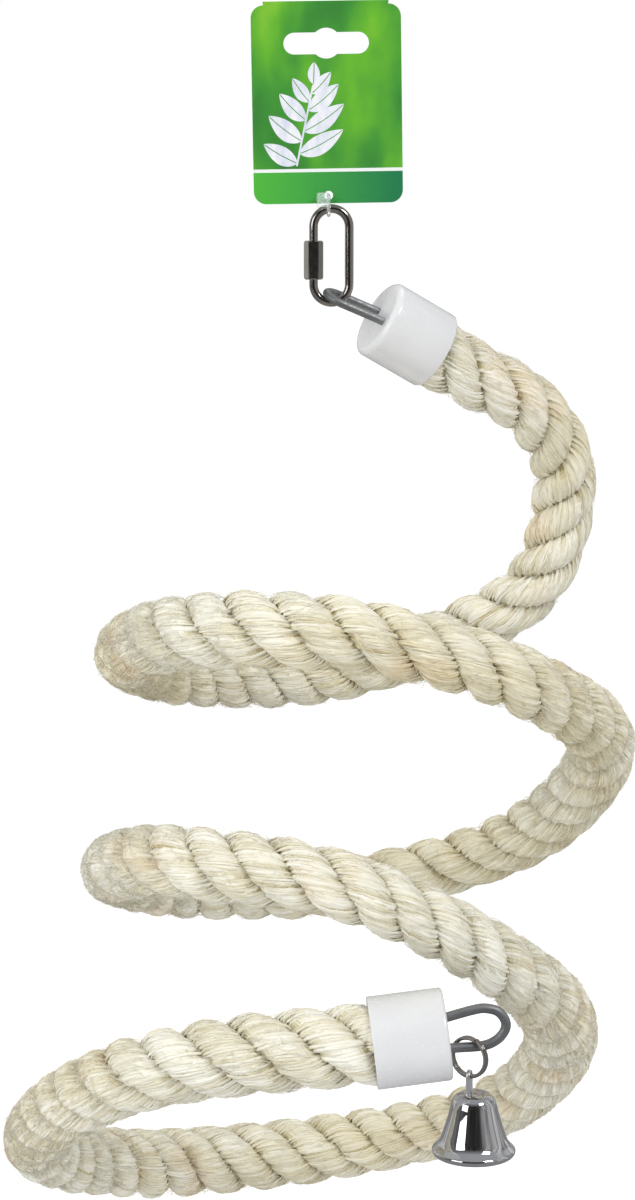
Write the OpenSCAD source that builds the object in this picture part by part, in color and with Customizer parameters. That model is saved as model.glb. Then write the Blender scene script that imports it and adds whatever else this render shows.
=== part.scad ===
// Spiral rope perch for a bird cage, hung from an oval quick link.
// Millimetres. The origin is the inside top of the quick link, where a cage bar carries it.
// X runs to the right, Y away from the front, Z up.

/* [Rope] */
// Diameter of the laid rope
rope_d = 28; // [22:0.5:34]
// Mean radius of the coil, measured to the middle of the rope
coil_r = 88; // [80:1:110]
// Drop of the coil in one turn
turn_drop = 100; // [90:1:130]
// Distance of the coil's middle to the right of the hang point
coil_x = 6; // [0:1:14]
// Distance of the coil's middle in front of the hang point, which balances the perch
coil_front = 6; // [0:1:10]
// Gap between the core wire and the rope round it, on each side
core_gap = 0.2; // [0.1:0.05:0.4]

/* [End caps] */
// Wall of the plastic end caps
cap_wall = 1; // [0.8:0.1:2]
// Length of each end cap
cap_len = 26; // [24:0.5:36]
// Thickness of a cap's closed end
cap_floor = 2; // [1.5:0.1:4]
// Rounding of a cap's closed end
cap_round = 1.4; // [1:0.1:3]
// Thickness of the resin between a cap's closed end and the rope
resin_len = 9; // [6:0.5:12]
// Gap between a cap and the rope or resin in it
cap_gap = 0.1; // [0.05:0.05:0.3]

/* [Wire eyes] */
// Diameter of the galvanised wire
wire_d = 3.4; // [2:0.1:3.6]
// Spacing of the two legs of an eye, between their middles
eye_w = 11; // [9:0.5:13]
// Length of an eye from the cap's closed end to the middle of its bend
eye_len = 21; // [17:0.5:24]
// Depth of the eye's legs in the resin
eye_root = 7; // [4:0.5:8]
// Gap round a wire where it goes through a cap or the resin
wire_gap = 0.05; // [0.02:0.01:0.1]

/* [Quick link] */
// Outside height of the link
link_h = 37.4; // [36:0.1:46]
// Outside width of the link
link_w = 16.3; // [15:0.1:20]
// Diameter of the link's rod
link_d = 3.2; // [2.8:0.1:3.6]
// Opening in the link's leg that the sleeve closes
link_gap = 4.5; // [4:0.1:5]
// Length of the screw sleeve
sleeve_len = 14.2; // [12:0.1:15]
// Width of the sleeve across its flats
sleeve_w = 6.2; // [5.6:0.1:7]
// Clearance between the sleeve and the rod
sleeve_gap = 0.05; // [0.03:0.01:0.1]

/* [Header tag] */
// Width of the card
tag_w = 54.6; // [50:0.1:64]
// Height of the card
tag_h = 72.2; // [68:0.1:86]
// Thickness of the card
tag_t = 0.6; // [0.5:0.1:1]
// Corner radius of the card
tag_corner = 4.6; // [2:0.1:8]
// Distance of the card's middle to the left of the hang point
tag_shift = 2; // [0:0.5:4]
// Width of the hanging slot
slot_w = 31.1; // [28:0.1:36]
// Height of the hanging slot
slot_h = 7.8; // [6:0.1:9]
// Diameter of the round bump in the middle of the slot
slot_bump_d = 11; // [10:0.1:13]
// Distance of the slot's middle below the card's top edge
slot_down = 14.6; // [12:0.1:20]
// Diameter of the hole for the tie
tie_hole_d = 4.4; // [4:0.1:5.4]
// Distance of the tie's hole above the card's bottom edge
tie_hole_up = 4.2; // [4:0.1:5]
// Diameter of the clear plastic tie
tie_d = 1.6; // [1.2:0.1:1.8]
// Spacing of the tie's two strands, between their middles
tie_w = 6; // [5.6:0.1:7]

/* [Bell ring] */
// Outside diameter of the split ring
ring_d = 14.8; // [13:0.1:16]
// Thickness of the split ring's wire, from outside to inside
ring_wire = 1.3; // [1:0.1:1.6]
// Height of one coil of the split ring, along its axis
ring_coil = 1; // [0.8:0.1:1.3]
// Slack between the ring and the eye that it hangs on
ring_slack = 1; // [0.9:0.1:1.4]
// Gap between the bottom cap and the ring
ring_gap = 1.4; // [1:0.1:3]

/* [Bell] */
// Diameter of the bell's rim
bell_d = 28.8; // [24:0.1:32]
// Height of the bell's shell
bell_h = 22; // [17:0.5:25]
// Diameter of the bell's crown
crown_d = 14.6; // [12:0.2:16]
// Thickness of the bell's shell
bell_wall = 0.9; // [0.7:0.1:1.2]
// Thickness of the rolled lip round the rim
lip_t = 1.6; // [1.2:0.1:2]
// Width of the hanger's strip
strip_w = 1.6; // [1.4:0.1:2]
// Thickness of the hanger's strip
strip_t = 0.8; // [0.6:0.1:1]
// Spacing of the hanger's two legs above the crown, between their middles
strip_gap = 4.2; // [4:0.1:4.8]
// Height of the hanger above the crown
hanger_up = 8.1; // [7.6:0.1:12]
// Depth of the hanger's foot below the crown
foot_h = 5; // [4.6:0.1:6]
// Reach of the foot's shoulders past the legs
shoulder = 1.2; // [0.8:0.1:1.6]
// Slack between the hanger and the ring that it hangs on
hanger_slack = 0.9; // [0.7:0.1:1.2]
// Diameter of the clapper's ball
ball_d = 7; // [5:0.1:7.6]
// Diameter of the clapper's wire
clapper_d = 1; // [0.8:0.1:1.2]
// Inside diameter of the clapper wire's loop
loop_bore = 3.4; // [3.2:0.1:3.8]
// Slack between the clapper's loop and the foot that it hangs on
clapper_slack = 0.5; // [0.4:0.1:0.6]
// Distance of the ball's middle above the bell's rim
ball_up = 3; // [2:0.1:4]

/* [Hidden] */
$fn = 64;

// Overrun of every cut
over = 1;
// Gap between parts that hang on each other
hang_gap = 0.3;

// Directions of the two end caps, in degrees: bearing from X towards Y, and dip below level.
// Both look from the closed end towards the rope.
top_bearing = 19;
top_dip = 29;
bottom_bearing = 182;
bottom_dip = 7;

// Turn of the top eye about its cap's axis, and how far its bend lies in front of the bar's
// middle, which together let the link's curved bar pass through it
eye_roll = 15;
eye_front = 1.4;

// Derived sizes of the link
link_r = link_d / 2;
link_bend = (link_w - link_d) / 2;
link_top = link_d;
link_low = link_top - link_h;
bar_z = link_low + link_r;
leg_low = link_low + link_w / 2;
leg_high = link_top - link_w / 2;
sleeve_rise_share = 1.125;
sleeve_low = leg_low + sleeve_rise_share * link_r;
gap_low = sleeve_low + link_d / 3;

// Derived sizes of the caps and their eyes
wire_r = wire_d / 2;
cap_bore = rope_d + 2 * cap_gap;
cap_d = cap_bore + 2 * cap_wall;
rope_in = cap_floor + resin_len;

// The top eye's bend lies on the link's bar, so its cap's closed end follows from it
function along(bearing, dip) = [cos(dip) * cos(bearing), cos(dip) * sin(bearing), -sin(dip)];
top_axis = along(top_bearing, top_dip);
bottom_axis = along(bottom_bearing, bottom_dip);
eye_rest = [0, -eye_front, bar_z + (link_r + wire_r + hang_gap) / cos(top_dip)];
top_end = eye_rest + eye_len * top_axis;

// The coil's places, one for each eighth of a turn, from the right going to the back.
// Reach is a share of the coil's radius, and level a share of one turn's drop below the hang point.
reach_shares = [1.09, 1.00, 0.94, 0.92, 0.91, 0.93, 1.00, 1.07, 1.06, 1.01, 0.99,
                0.99, 0.97, 0.94, 0.93, 0.93, 0.98, 1.06, 1.18, 1.32, 1.25];
level_shares = [1.50, 1.82, 1.80, 1.64, 1.48, 1.45, 1.64, 1.98, 2.50, 2.74, 2.68,
                2.46, 2.29, 2.33, 2.70, 3.11, 3.60, 3.88, 3.88, 3.52, 3.04];
coil_step = 45;
function coil_place(i) =
    let (a = coil_step * (i + 1), r = coil_r * reach_shares[i])
    [coil_x + r * cos(a), r * sin(a) - coil_front, -turn_drop * level_shares[i]];

// The way from the top cap out to the coil: places as shares of the coil's radius across
// and of one turn's drop below the hang point
lead_shares = [[0.88, 0.34, 0.74], [1.03, 0.56, 1.05]];
lead_places = [for (s = lead_shares) [coil_r * s[0], coil_r * s[1], -turn_drop * s[2]]];

// The bottom cap's open rim, as shares of the coil's radius and of one turn's drop
rim_shares = [0.149, -1.13, 2.816];
bottom_rim = [coil_r * rim_shares[0], coil_r * rim_shares[1] - coil_front,
              -turn_drop * rim_shares[2]];
bottom_end = bottom_rim - cap_len * bottom_axis;

// The rope runs straight for one diameter from each end, and through the places between
rope_start = top_end + rope_in * top_axis;
rope_lead = rope_start + rope_d * top_axis;
rope_finish = bottom_end + rope_in * bottom_axis;
rope_tail = rope_finish + rope_d * bottom_axis;
places = concat([rope_lead], lead_places, [for (i = [0:len(reach_shares) - 1]) coil_place(i)],
                [rope_tail]);
last = len(places) - 1;
rings_each = 3;

// A smooth curve through b and c, with a and d as its neighbours
function between(a, b, c, d, t) =
    (2 * b + (c - a) * t + (2 * a - 5 * b + 4 * c - d) * t * t
     + (3 * b - a - 3 * c + d) * t * t * t) / 2;
function before(k) = k > 0 ? places[k - 1]
    : places[1] - 2 * norm(places[1] - places[0]) * top_axis;
function after(k) = k < last ? places[k + 1]
    : places[last - 1] - 2 * norm(places[last] - places[last - 1]) * bottom_axis;
route = concat([rope_start],
    [for (k = [0:last - 1], j = [0:rings_each - 1])
        between(before(k), places[k], places[k + 1], after(k + 1), j / rings_each)],
    [rope_tail, rope_finish]);

// Rings of a tube along a route, square to it. Each ring's first point follows the last ring's
// without turning about the route.
function unit(v) = v / norm(v);
function heading(p, i) = i == 0 ? unit(p[1] - p[0])
    : i == len(p) - 1 ? unit(p[i] - p[i - 1])
    : unit(unit(p[i + 1] - p[i]) + unit(p[i] - p[i - 1]));
function square_to(h, v) = unit(v - (v * h) * h);
function outward(p) =
    [for (i = 0, v = square_to(heading(p, 0), [0, 0, 1]); i < len(p);
          i = i + 1, v = i < len(p) ? square_to(heading(p, i), v) : v) v];
function tube_points(p, r, sides) =
    let (out = outward(p))
    [for (i = [0:len(p) - 1])
        let (side = cross(out[i], heading(p, i)))
        for (s = [0:sides - 1])
            p[i] + r * (cos(360 * s / sides) * out[i] + sin(360 * s / sides) * side)];
function wall_faces(rings, sides, from, turned) =
    [for (i = [0:rings - 2], s = [0:sides - 1])
        let (a = from + i * sides + s, b = from + i * sides + (s + 1) % sides)
        each (turned ? [[a, a + sides, b + sides], [a, b + sides, b]]
                     : [[a, b + sides, a + sides], [a, b, b + sides]])];

module solid_tube(p, r, sides) {
    rings = len(p);
    first = [for (s = [0:sides - 1]) sides - 1 - s];
    end = [for (s = [0:sides - 1]) (rings - 1) * sides + s];
    polyhedron(tube_points(p, r, sides),
               concat([first, end], wall_faces(rings, sides, 0, false)));
}

// The bore's faces start after those of the outside, and each end is a ring of faces between them
module hollow_tube(p, r, bore_r, sides) {
    rings = len(p);
    inner = rings * sides;
    function rim(at, turned) =
        [for (s = [0:sides - 1])
            let (a = at + s, b = at + (s + 1) % sides, c = inner + a, d = inner + b)
            each (turned ? [[a, c, d], [a, d, b]] : [[a, d, c], [a, b, d]])];
    polyhedron(concat(tube_points(p, r, sides), tube_points(p, bore_r, sides)),
               concat(wall_faces(rings, sides, 0, false), wall_faces(rings, sides, inner, true),
                      rim(0, true), rim((rings - 1) * sides, false)));
}

// The least distance between the rope's middle line and itself, measured on points that lie
// more than two diameters apart along it, less the rope's diameter
far = ceil(2 * rope_d / (coil_r * coil_step / rings_each * PI / 180));
rope_self_gap = min([for (i = [0:len(route) - 1], j = [i + far:1:len(route) - 1])
    norm(route[i] - route[j])]) - rope_d;
rope_run = [for (i = [1:len(route) - 1]) norm(route[i] - route[i - 1])];
function total(list, i = 0) = i < len(list) ? list[i] + total(list, i + 1) : 0;
echo("least gap of the rope to itself", rope_self_gap, "rope length", total(rope_run));

// Sizes of the core wire, which runs from the resin in one cap to the resin in the other
core_in = resin_len - eye_root;
core_route = concat([rope_start - (core_in / 2) * top_axis],
                    [for (i = [1:len(route) - 2]) route[i]],
                    [rope_finish - (core_in / 2) * bottom_axis]);
rope_sides = 16;

// Stands a shape that is drawn along +Z from a cap's closed end into its place
module at_end(place, bearing, dip) {
    translate(place) rotate([0, 90 + dip, bearing]) children();
}

// The sleeve's leg is on the left
module link_leg_rod(x, low, high) {
    translate([x, 0, low]) cylinder(h = high - low, r = link_r);
}

module link_bow() {
    rotate([90, 0, 0]) rotate_extrude(angle = 180) translate([link_bend, 0]) circle(r = link_r);
}

module quick_link() {
    color("dimgray") {
        link_leg_rod(link_bend, leg_low, leg_high);
        link_leg_rod(-link_bend, gap_low + link_gap, leg_high);
        link_leg_rod(-link_bend, leg_low, gap_low);
        translate([0, 0, leg_high]) link_bow();
        translate([0, 0, leg_low]) rotate([0, 180, 0]) link_bow();
    }
}

module link_sleeve() {
    color("gray") translate([-link_bend, 0, sleeve_low]) difference() {
        cylinder(h = sleeve_len, d = sleeve_w / cos(30), $fn = 6);
        translate([0, 0, -over]) cylinder(h = sleeve_len + 2 * over, r = link_r + sleeve_gap);
    }
}

// The card stands just clear of the link's top
tag_low = link_top + hang_gap;
tie_z = tag_low + tie_hole_up;
tie_x = -tag_shift / 2;

module card_outline() {
    across = tag_w - 2 * tag_corner;
    square([across, tag_h], center = true);
    square([tag_w, tag_h - 2 * tag_corner], center = true);
    for (x = [-1, 1], z = [-1, 1])
        translate([x * across / 2, z * (tag_h / 2 - tag_corner)]) circle(r = tag_corner);
}

module slot_outline() {
    across = slot_w - slot_h;
    square([across, slot_h], center = true);
    for (x = [-1, 1]) translate([x * across / 2, 0]) circle(d = slot_h);
    circle(d = slot_bump_d);
}

module tag_card() {
    color("limegreen") translate([-tag_shift, tag_t / 2, tag_low + tag_h / 2]) rotate([90, 0, 0])
        linear_extrude(tag_t) difference() {
            card_outline();
            translate([0, tag_h / 2 - slot_down]) slot_outline();
            translate([tie_x + tag_shift, tie_hole_up - tag_h / 2]) circle(d = tie_hole_d);
        }
}

// The tie is a closed loop through the card's hole and round the link's top, with a flat lock
tie_r = tie_w / 2;
tie_under = -hang_gap - tie_d / 2;
// The lock's width and height as shares of the tie's diameter
lock_shares = [2.75, 3.375];
lock_w = lock_shares[0] * tie_d;
lock_h = lock_shares[1] * tie_d;

module tie_bow() {
    rotate([90, 0, 90]) rotate_extrude(angle = 180) translate([tie_r, 0]) circle(d = tie_d);
}

module tag_tie() {
    low = tie_under + tie_r;
    high = tie_z - tie_r;
    color("whitesmoke") translate([tie_x, 0, 0]) {
        for (y = [-tie_r, tie_r]) translate([0, y, low]) cylinder(h = high - low, d = tie_d);
        translate([0, 0, high]) tie_bow();
        translate([0, 0, low]) rotate([180, 0, 0]) tie_bow();
        translate([-lock_w, -tie_r - tie_d / 2, high - lock_h / 2])
            cube([lock_w, tie_d, lock_h]);
    }
}

// An eye points back out of its cap: two legs and a half-round bend
module wire_eye() {
    leg = eye_len - eye_w / 2;
    deep = cap_floor + eye_root;
    for (y = [-1, 1]) translate([0, y * eye_w / 2, -leg]) cylinder(h = leg + deep, d = wire_d);
    translate([0, 0, -leg]) rotate([0, 90, 0]) rotate([0, 0, -90])
        rotate_extrude(angle = 180) translate([eye_w / 2, 0]) circle(d = wire_d);
}

module top_eye() {
    color("slategray") at_end(top_end, top_bearing, top_dip) rotate([0, 0, eye_roll]) wire_eye();
}

module bottom_eye() {
    color("slategray") at_end(bottom_end, bottom_bearing, bottom_dip)
        rotate([0, 0, 90]) wire_eye();
}

module eye_holes(low, high) {
    for (y = [-1, 1]) translate([0, y * eye_w / 2, low])
        cylinder(h = high - low, d = wire_d + 2 * wire_gap);
}

module end_cap(roll) {
    difference() {
        rotate_extrude() {
            translate([0, cap_round]) square([cap_d / 2, cap_len - cap_round]);
            square([cap_d / 2 - cap_round, cap_len]);
            translate([cap_d / 2 - cap_round, cap_round]) circle(r = cap_round);
        }
        translate([0, 0, cap_floor]) cylinder(h = cap_len, d = cap_bore);
        rotate([0, 0, roll]) eye_holes(-over, cap_floor + over);
    }
}

// The resin holds the eye's legs and the end of the core wire
module resin(roll) {
    difference() {
        translate([0, 0, cap_floor]) cylinder(h = resin_len, d = rope_d);
        rotate([0, 0, roll]) eye_holes(cap_floor - over, cap_floor + eye_root);
        translate([0, 0, rope_in - core_in / 2])
            cylinder(h = core_in, d = wire_d + 2 * wire_gap);
    }
}

module top_cap() {
    color("white") at_end(top_end, top_bearing, top_dip) end_cap(eye_roll);
}

module bottom_cap() {
    color("white") at_end(bottom_end, bottom_bearing, bottom_dip) end_cap(90);
}

module top_resin() {
    color("khaki") at_end(top_end, top_bearing, top_dip) resin(eye_roll);
}

module bottom_resin() {
    color("khaki") at_end(bottom_end, bottom_bearing, bottom_dip) resin(90);
}

module rope() {
    color("beige") hollow_tube(route, rope_d / 2, wire_d / 2 + core_gap, rope_sides);
}

module core_wire() {
    color("slategray") solid_tube(core_route, wire_d / 2, rope_sides / 2);
}

// The ring hangs on the lower leg of the bottom eye, turned out of the front view
ring_turn = -36;
ring_r = ring_d / 2;
function down_leg(out) =
    let (c = cos(bottom_bearing), s = sin(bottom_bearing))
    bottom_end - out * bottom_axis
    + eye_w / 2 * [-sin(bottom_dip) * c, -sin(bottom_dip) * s, -cos(bottom_dip)];
ring_out = ring_r * cos(ring_turn) + ring_gap;
ring_leg = down_leg(ring_out);
ring_middle = ring_leg + [0, 0, wire_r + ring_slack + ring_wire - ring_r];
// Width of the notch between the ring's two coils
notch = ring_coil / 4;

module bell_ring() {
    color("gray") translate(ring_middle) rotate([90, 0, ring_turn]) rotate_extrude() {
        bore = ring_r - ring_wire;
        translate([bore, -ring_coil]) square([ring_wire, ring_coil - notch / 2]);
        translate([bore, notch / 2]) square([ring_wire, ring_coil - notch / 2]);
        translate([bore, -ring_coil / 2]) square([ring_wire - notch, ring_coil]);
    }
}

// The bell hangs on the ring's low side. Its parts are drawn with their origin on the crown.
bell_turn = -24;
strip_bend = strip_gap / 2;
arch_top = ring_middle[2] - ring_r + ring_wire + hanger_slack + strip_t;
crown = [ring_middle[0], ring_middle[1], arch_top - hanger_up];
rim_r = bell_d / 2;
crown_r = crown_d / 2;
crown_share = 0.4;
crown_round = crown_share * crown_r;
flare_steps = 12;
// The flare of the bell: a straight share and a share that rises steeply at the rim
flare_shares = [0.7, 0.3];
function flare(u) = crown_r + (rim_r - crown_r) * (flare_shares[0] * u + flare_shares[1] * u ^ 5);

module at_bell() {
    translate(crown) rotate([0, 0, bell_turn]) children();
}

// The shell's outline runs down its outside, round the lip and up its inside
function crown_bend(inset) =
    [for (a = [0:15:75]) [crown_r - crown_round - inset + crown_round * sin(a),
                          -inset - crown_round + crown_round * cos(a)]];
function side(inset) =
    [for (i = [0:flare_steps])
        let (u = i / flare_steps, low = crown_round + inset * (1 - u))
        [flare(u) - inset, -low - (bell_h - lip_t / 2 - low) * u]];
lip = [for (a = [15:15:165]) [rim_r - lip_t / 2 * (1 - cos(a)), -bell_h + lip_t / 2 * (1 - sin(a))]];
function backwards(list) = [for (i = [len(list) - 1:-1:0]) list[i]];
shell_outline = concat([[0, 0]], crown_bend(0), side(0), lip, backwards(side(bell_wall)),
                       backwards(crown_bend(bell_wall)), [[0, -bell_wall]]);

module strip_slots() {
    for (y = [-strip_bend, strip_bend]) translate([0, y, -bell_wall / 2])
        cube([strip_w + 2 * cap_gap, strip_t + 2 * cap_gap, bell_wall + 2 * over], center = true);
}

module bell_shell() {
    color("silver") at_bell() difference() {
        rotate_extrude() polygon(shell_outline);
        strip_slots();
    }
}

// The hanger is one strip: an arch above the crown, and a foot whose shoulders bear under it
module hanger_outline(inset) {
    half = strip_bend + strip_t / 2 - inset;
    arch = hanger_up - strip_bend - strip_t / 2;
    foot_w = 2 * (half + shoulder);
    foot_top = -bell_wall - cap_gap - inset;
    translate([0, arch]) circle(r = half);
    translate([-half, -bell_wall - foot_h / 2]) square([2 * half, arch + bell_wall + foot_h / 2]);
    translate([-foot_w / 2, foot_top - foot_h + 2 * inset]) square([foot_w, foot_h - 2 * inset]);
}

module bell_hanger() {
    color("silver") at_bell() translate([-strip_w / 2, 0, 0]) rotate([90, 0, 90])
        linear_extrude(strip_w) difference() {
            hanger_outline(0);
            hanger_outline(strip_t);
        }
}

// The clapper's loop hangs on the foot's lower bar
bar_top = -bell_wall - cap_gap - foot_h + strip_t;
loop_r = (loop_bore + clapper_d) / 2;
loop_z = bar_top + clapper_slack - loop_bore / 2;
ball_z = ball_up - bell_h;

module clapper_wire() {
    color("dimgray") at_bell() {
        translate([0, 0, loop_z]) rotate([90, 0, 0])
            rotate_extrude() translate([loop_r, 0]) circle(d = clapper_d);
        translate([0, 0, ball_z]) cylinder(h = loop_z - loop_r - ball_z, d = clapper_d);
    }
}

module clapper_ball() {
    color("gray") at_bell() translate([0, 0, ball_z]) difference() {
        sphere(d = ball_d);
        cylinder(h = ball_d, d = clapper_d + 2 * wire_gap);
    }
}

quick_link();
link_sleeve();
tag_card();
tag_tie();
top_eye();
core_wire();
rope();
bottom_eye();
top_cap();
bottom_cap();
top_resin();
bottom_resin();
bell_ring();
bell_shell();
bell_hanger();
clapper_wire();
clapper_ball();
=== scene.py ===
import math

import bmesh
import bpy
import numpy as np
from mathutils import Matrix, Vector


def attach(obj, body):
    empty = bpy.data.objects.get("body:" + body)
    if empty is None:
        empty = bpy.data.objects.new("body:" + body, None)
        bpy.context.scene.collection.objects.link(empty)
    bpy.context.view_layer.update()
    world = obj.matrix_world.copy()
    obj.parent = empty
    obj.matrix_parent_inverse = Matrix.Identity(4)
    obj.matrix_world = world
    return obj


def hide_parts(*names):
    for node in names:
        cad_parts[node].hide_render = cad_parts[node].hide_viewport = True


# Dresses the spiral rope perch: laid sisal rope, plastic end caps, wire eyes, quick link,
# header card, tie, split ring and bell. Lengths are millimetres until a mesh is made.
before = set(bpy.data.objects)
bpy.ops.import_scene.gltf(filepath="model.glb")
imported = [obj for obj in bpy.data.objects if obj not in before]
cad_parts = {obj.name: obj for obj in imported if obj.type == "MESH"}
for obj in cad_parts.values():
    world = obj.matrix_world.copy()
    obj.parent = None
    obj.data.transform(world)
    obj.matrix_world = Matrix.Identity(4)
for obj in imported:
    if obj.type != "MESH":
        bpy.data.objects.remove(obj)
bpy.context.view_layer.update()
rng = np.random.default_rng(11)
MM = 0.001

# Sizes that the CAD source gives
ROPE_D, COIL_R, TURN_DROP, COIL_X, COIL_FRONT = 28.0, 88.0, 100.0, 6.0, 6.0
CAP_WALL, CAP_LEN, CAP_FLOOR, RESIN_LEN, CAP_GAP = 1.0, 26.0, 2.0, 9.0, 0.1
WIRE_D, EYE_W, EYE_LEN = 3.4, 11.0, 21.0
LINK_H, LINK_W, LINK_D, LINK_GAP = 37.4, 16.3, 3.2, 4.5
SLEEVE_LEN, SLEEVE_W = 14.2, 6.2
TAG_W, TAG_H, TAG_T, TAG_CORNER, TAG_SHIFT = 54.6, 72.2, 0.6, 4.6, 2.0
SLOT_W, SLOT_H, SLOT_BUMP, SLOT_DOWN = 31.1, 7.8, 11.0, 14.6
TIE_HOLE_UP, TIE_D, TIE_W = 4.2, 1.6, 6.0
RING_D, RING_WIRE, RING_COIL, RING_SLACK, RING_GAP = 14.8, 1.3, 1.0, 1.0, 1.4
BELL_H, BELL_WALL = 22.0, 0.9
STRIP_W, STRIP_T, STRIP_GAP, HANGER_UP = 1.6, 0.8, 4.2, 8.1
FOOT_H, SHOULDER, HANGER_SLACK = 5.0, 1.2, 0.9
BALL_D, CLAPPER_D, LOOP_BORE, CLAPPER_SLACK, BALL_UP = 7.0, 1.0, 3.4, 0.5, 3.0
HANG_GAP, EYE_FRONT, EYE_ROLL, RING_TURN, BELL_TURN = 0.3, 1.4, 15.0, -36.0, -24.0
TOP_BEARING, TOP_DIP, BOTTOM_BEARING, BOTTOM_DIP = 19.0, 29.0, 182.0, 7.0

LINK_R = LINK_D / 2
LINK_BEND = (LINK_W - LINK_D) / 2
LINK_LOW = LINK_D - LINK_H
BAR_Z = LINK_LOW + LINK_R
LEG_LOW = LINK_LOW + LINK_W / 2
LEG_HIGH = LINK_D - LINK_W / 2
SLEEVE_LOW = LEG_LOW + 1.125 * LINK_R
GAP_LOW = SLEEVE_LOW + LINK_D / 3
ROPE_IN = CAP_FLOOR + RESIN_LEN


def along(bearing, dip):
    """The direction of a bearing in degrees, dipping below level."""
    b, d = np.radians([bearing, dip])
    return np.array([np.cos(d) * np.cos(b), np.cos(d) * np.sin(b), -np.sin(d)])


def unit(v):
    v = np.asarray(v, float)
    return v / np.linalg.norm(v, axis=-1, keepdims=True)


def spline_parts(p, each):
    """The parts of a Catmull-Rom line between its points, without the first and the last of them."""
    t = np.linspace(0, 1, each, endpoint=False)[:, None]
    return [(2 * b + (c - a) * t + (2 * a - 5 * b + 4 * c - d) * t ** 2
             + (3 * b - a - 3 * c + d) * t ** 3) / 2
            for a, b, c, d in zip(p, p[1:], p[2:], p[3:])]


TOP_AXIS, BOTTOM_AXIS = along(TOP_BEARING, TOP_DIP), along(BOTTOM_BEARING, BOTTOM_DIP)
eye_rest = np.array([0, -EYE_FRONT,
                     BAR_Z + (LINK_R + WIRE_D / 2 + HANG_GAP) / math.cos(math.radians(TOP_DIP))])
top_end = eye_rest + EYE_LEN * TOP_AXIS


# The rope's route, point by point as in the CAD source
REACH = [1.09, 1.00, 0.94, 0.92, 0.91, 0.93, 1.00, 1.07, 1.06, 1.01, 0.99,
         0.99, 0.97, 0.94, 0.93, 0.93, 0.98, 1.06, 1.18, 1.32, 1.25]
LEVEL = [1.50, 1.82, 1.80, 1.64, 1.48, 1.45, 1.64, 1.98, 2.50, 2.74, 2.68,
         2.46, 2.29, 2.33, 2.70, 3.11, 3.60, 3.88, 3.88, 3.52, 3.04]
LEAD = [[0.88, 0.34, 0.74], [1.03, 0.56, 1.05]]
RIM = [0.149, -1.13, 2.816]


def coil_place(i):
    """The middle line's point number i, one eighth of a turn on from the last."""
    a, r = math.radians(45 * (i + 1)), COIL_R * REACH[i]
    return [COIL_X + r * math.cos(a), r * math.sin(a) - COIL_FRONT, -TURN_DROP * LEVEL[i]]


bottom_rim = np.array([COIL_R * RIM[0], COIL_R * RIM[1] - COIL_FRONT, -TURN_DROP * RIM[2]])
bottom_end = bottom_rim - CAP_LEN * BOTTOM_AXIS
rope_start = top_end + ROPE_IN * TOP_AXIS
rope_lead = rope_start + ROPE_D * TOP_AXIS
rope_finish = bottom_end + ROPE_IN * BOTTOM_AXIS
rope_tail = rope_finish + ROPE_D * BOTTOM_AXIS
places = np.array([rope_lead]
                  + [[COIL_R * s[0], COIL_R * s[1], -TURN_DROP * s[2]] for s in LEAD]
                  + [coil_place(i) for i in range(len(REACH))] + [rope_tail])


def rope_route():
    """The rope's middle line at every millimetre, with two directions square to it."""
    first = places[1] - 2 * np.linalg.norm(places[1] - places[0]) * TOP_AXIS
    final = places[-2] - 2 * np.linalg.norm(places[-1] - places[-2]) * BOTTOM_AXIS
    parts = spline_parts(np.vstack([first, places, final]), 40)
    way = np.vstack([rope_start] + parts + [rope_tail, rope_finish])
    run = np.concatenate([[0], np.cumsum(np.linalg.norm(np.diff(way, axis=0), axis=1))])
    at = np.linspace(0, run[-1], int(run[-1]) + 1)
    line = np.stack([np.interp(at, run, way[:, k]) for k in range(3)], 1)
    ahead = unit(np.gradient(line, axis=0))
    out = np.zeros_like(line)
    v = np.array([0, 0, 1.0])
    for i, h in enumerate(ahead):
        v = unit(v - (v @ h) * h)
        out[i] = v
    return at, line, out, np.cross(ahead, out)


RUN, LINE, OUT, SIDE = rope_route()
ROPE_LEN = RUN[-1]


# The run, how far the rope there sits right of and above the CAD's line, and its girth
LIE = np.array([
    (0, 0.0, 0.2, 0.980), (22, -0.2, 0.0, 0.935), (42, -0.5, -0.6, 0.853),
    (86, 0.1, -0.7, 0.859), (130, 1.4, -1.0, 0.864), (174, 1.2, -1.5, 0.846),
    (218, 0.5, -1.4, 0.839), (306, -0.1, -1.3, 0.829), (350, -0.5, 0.1, 0.836),
    (394, -0.9, 1.6, 0.900), (438, -0.6, 2.1, 0.945), (482, 0.1, 1.9, 0.933),
    (526, 0.3, 1.7, 0.851), (570, 0.0, 0.6, 0.837), (614, 0.1, -0.4, 0.860),
    (658, 1.5, -1.4, 0.898), (702, 1.6, -1.1, 0.897), (746, 0.2, 0.5, 0.861),
    (834, 0.0, 0.4, 0.819), (922, -0.3, 0.3, 0.878), (1010, -0.1, 1.4, 0.930),
    (1054, 0.2, 1.3, 0.880), (1098, 0.7, 1.5, 0.825), (1142, 1.2, 1.8, 0.853),
    (1186, 0.4, 1.1, 0.933), (1230, -0.5, -0.2, 0.975), (1274, -0.3, 0.0, 0.915),
    (1318, -0.4, 1.2, 0.871), (1362, -0.4, 1.5, 0.910), (1406, -0.3, 2.0, 0.964),
    (1450, -0.1, 2.2, 0.990), (1494, -0.4, 0.3, 0.953), (1538, -0.9, -1.1, 0.930),
    (1582, -1.5, 0.0, 0.917), (1626, -1.6, 2.3, 0.914), (1670, -1.2, 3.0, 0.919),
    (1714, -0.5, 2.0, 0.968), (1758, 0.0, -0.2, 0.988), (1772, 0.0, -0.4, 0.963)])
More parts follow.
